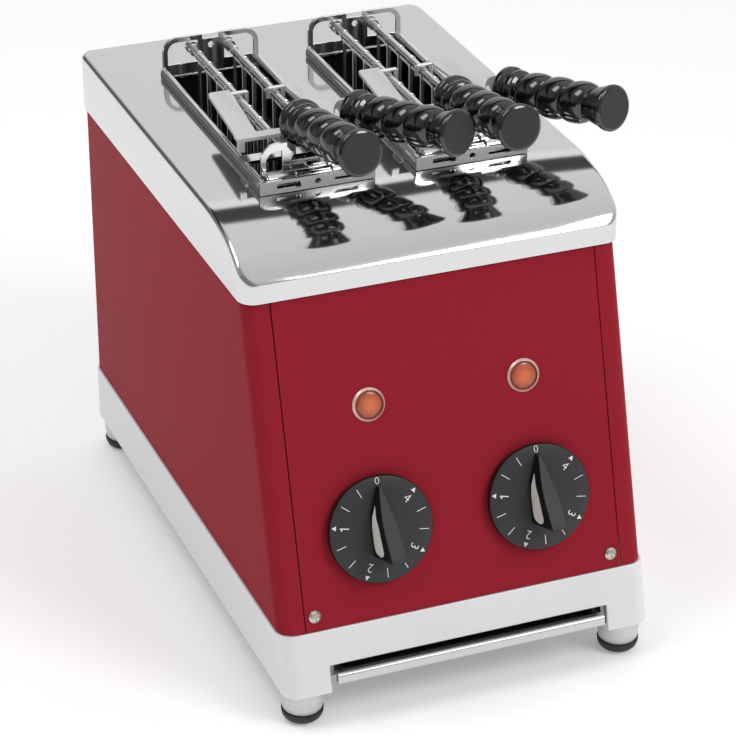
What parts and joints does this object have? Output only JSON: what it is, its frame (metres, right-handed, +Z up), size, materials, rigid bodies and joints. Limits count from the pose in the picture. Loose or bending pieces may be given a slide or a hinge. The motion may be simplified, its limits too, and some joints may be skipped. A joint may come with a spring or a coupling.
{
  "type": "sandwich toaster",
  "caption": "Upright counter-top toaster with a slanted red front, timer knobs, a polished top cover, a crumb tray and lift-out sandwich tongs with moulded handles.",
  "frame": {"origin": "on the table under the middle of the body's width and of the base frame's depth", "axes": "+X to the operator's right, +Y from the front panel to the rear, +Z up"},
  "size_m": [0.2331, 0.3797, 0.323],
  "materials": {
    "red_paint": "satin",
    "mirror_steel": "polished",
    "chromed_wire": "polished",
    "lever_steel": "satin",
    "base_metal": "satin",
    "foot_metal": "satin",
    "foot_rubber": "matte",
    "chamber_steel": "satin",
    "quartz": "satin",
    "ceramic": "matte",
    "timer_case": "satin",
    "bezel": "polished",
    "lamp_orange": "gloss",
    "pale_plastic": "matte",
    "black_plastic": "matte",
    "tray_steel": "satin",
    "screw_steel": "polished",
    "knob_grey": "matte",
    "knob_inlay": "satin",
    "bakelite": "gloss"
  },
  "bodies": {
    "housing": {"base_frame": "base_metal", "foot_collars": "foot_metal", "foot_pads": "foot_rubber", "body_wrap": "red_paint", "front_panel": "red_paint", "panel_screws": "screw_steel", "top_cover": "mirror_steel", "left_chamber": "chamber_steel", "right_chamber": "chamber_steel", "left_heater_tubes": "quartz", "right_heater_tubes": "quartz", "heater_end_caps": "ceramic", "left_timer": "timer_case", "right_timer": "timer_case", "lamp_bezels": "bezel", "lamp_lenses": "lamp_orange", "lamp_bodies": "pale_plastic", "terminal_block": "pale_plastic", "cable_gland": "black_plastic", "tray_runners": "tray_steel"},
    "crumb_tray": {"crumb_tray": "tray_steel", "tray_lip": "tray_steel"},
    "left_knob": {"left_knob": "knob_grey", "left_knob_inlays": "knob_inlay", "left_knob_shaft": "screw_steel"},
    "right_knob": {"right_knob": "knob_grey", "right_knob_inlays": "knob_inlay", "right_knob_shaft": "screw_steel"},
    "left_tong": {"left_tong_rails": "chromed_wire", "left_tong_rear_plate": "chromed_wire", "left_tong_front_plate": "chromed_wire", "left_tong_cross_rod": "chromed_wire", "left_tong_front_stop": "chromed_wire", "left_tong_bridge": "chromed_wire"},
    "left_tong_left_lever": {"left_tong_left_lever": "lever_steel", "left_tong_left_handle": "bakelite"},
    "left_tong_right_lever": {"left_tong_right_lever": "lever_steel", "left_tong_right_handle": "bakelite"},
    "left_tong_left_grid": {"left_tong_left_grid": "chromed_wire"},
    "left_tong_right_grid": {"left_tong_right_grid": "chromed_wire"},
    "right_tong": {"right_tong_rails": "chromed_wire", "right_tong_rear_plate": "chromed_wire", "right_tong_front_plate": "chromed_wire", "right_tong_cross_rod": "chromed_wire", "right_tong_front_stop": "chromed_wire", "right_tong_bridge": "chromed_wire"},
    "right_tong_left_lever": {"right_tong_left_lever": "lever_steel", "right_tong_left_handle": "bakelite"},
    "right_tong_right_lever": {"right_tong_right_lever": "lever_steel", "right_tong_right_handle": "bakelite"},
    "right_tong_left_grid": {"right_tong_left_grid": "chromed_wire"},
    "right_tong_right_grid": {"right_tong_right_grid": "chromed_wire"}
  },
  "joints": [
    {"name": "tray_slide", "type": "slide", "parent": "housing", "child": "crumb_tray", "axis": [0, -1, 0], "range_m": [0, 0.26]},
    {"name": "left_timer_turn", "type": "hinge", "parent": "housing", "child": "left_knob", "pos_m": [-0.0475, -0.15423, 0.10558], "axis": [0, -0.9627, 0.2706], "range_deg": [-312, 0]},
    {"name": "right_timer_turn", "type": "hinge", "parent": "housing", "child": "right_knob", "pos_m": [0.0475, -0.15423, 0.10558], "axis": [0, -0.9627, 0.2706], "range_deg": [-312, 0]},
    {"name": "left_tong_lift", "type": "slide", "parent": "housing", "child": "left_tong", "axis": [0, 0, 1], "range_m": [0, 0.16]},
    {"name": "left_tong_squeeze", "type": "hinge", "parent": "left_tong", "child": "left_tong_left_lever", "pos_m": [-0.05, -0.02601, 0.288], "axis": [0, 0, 1], "range_deg": [0, 8], "stiffness_Nm_per_rad": 0.5, "springref_deg": -5.73},
    {"name": "left_tong_right_turn", "type": "hinge", "parent": "left_tong", "child": "left_tong_right_lever", "pos_m": [-0.01895, -0.02601, 0.288], "axis": [0, 0, -1], "range_deg": [0, 8]},
    {"name": "left_tong_left_grid_slide", "type": "slide", "parent": "left_tong", "child": "left_tong_left_grid", "axis": [-1, 0, 0], "range_m": [0, 0.00895]},
    {"name": "left_tong_right_grid_slide", "type": "slide", "parent": "left_tong", "child": "left_tong_right_grid", "axis": [1, 0, 0], "range_m": [0, 0.00895]},
    {"name": "right_tong_lift", "type": "slide", "parent": "housing", "child": "right_tong", "axis": [0, 0, 1], "range_m": [0, 0.16]},
    {"name": "right_tong_squeeze", "type": "hinge", "parent": "right_tong", "child": "right_tong_left_lever", "pos_m": [0.042, -0.02601, 0.288], "axis": [0, 0, 1], "range_deg": [0, 8], "stiffness_Nm_per_rad": 0.5, "springref_deg": -5.73},
    {"name": "right_tong_right_turn", "type": "hinge", "parent": "right_tong", "child": "right_tong_right_lever", "pos_m": [0.07305, -0.02601, 0.288], "axis": [0, 0, -1], "range_deg": [0, 8]},
    {"name": "right_tong_left_grid_slide", "type": "slide", "parent": "right_tong", "child": "right_tong_left_grid", "axis": [-1, 0, 0], "range_m": [0, 0.00895]},
    {"name": "right_tong_right_grid_slide", "type": "slide", "parent": "right_tong", "child": "right_tong_right_grid", "axis": [1, 0, 0], "range_m": [0, 0.00895]}
  ],
  "couplings": [
    {"joint": "left_tong_right_turn", "follows": "left_tong_squeeze", "ratio": 1},
    {"joint": "left_tong_left_grid_slide", "follows": "left_tong_squeeze", "m_per_rad": 0.064093},
    {"joint": "left_tong_right_grid_slide", "follows": "left_tong_squeeze", "m_per_rad": 0.064093},
    {"joint": "right_tong_right_turn", "follows": "right_tong_squeeze", "ratio": 1},
    {"joint": "right_tong_left_grid_slide", "follows": "right_tong_squeeze", "m_per_rad": 0.064093},
    {"joint": "right_tong_right_grid_slide", "follows": "right_tong_squeeze", "m_per_rad": 0.064093}
  ]
}
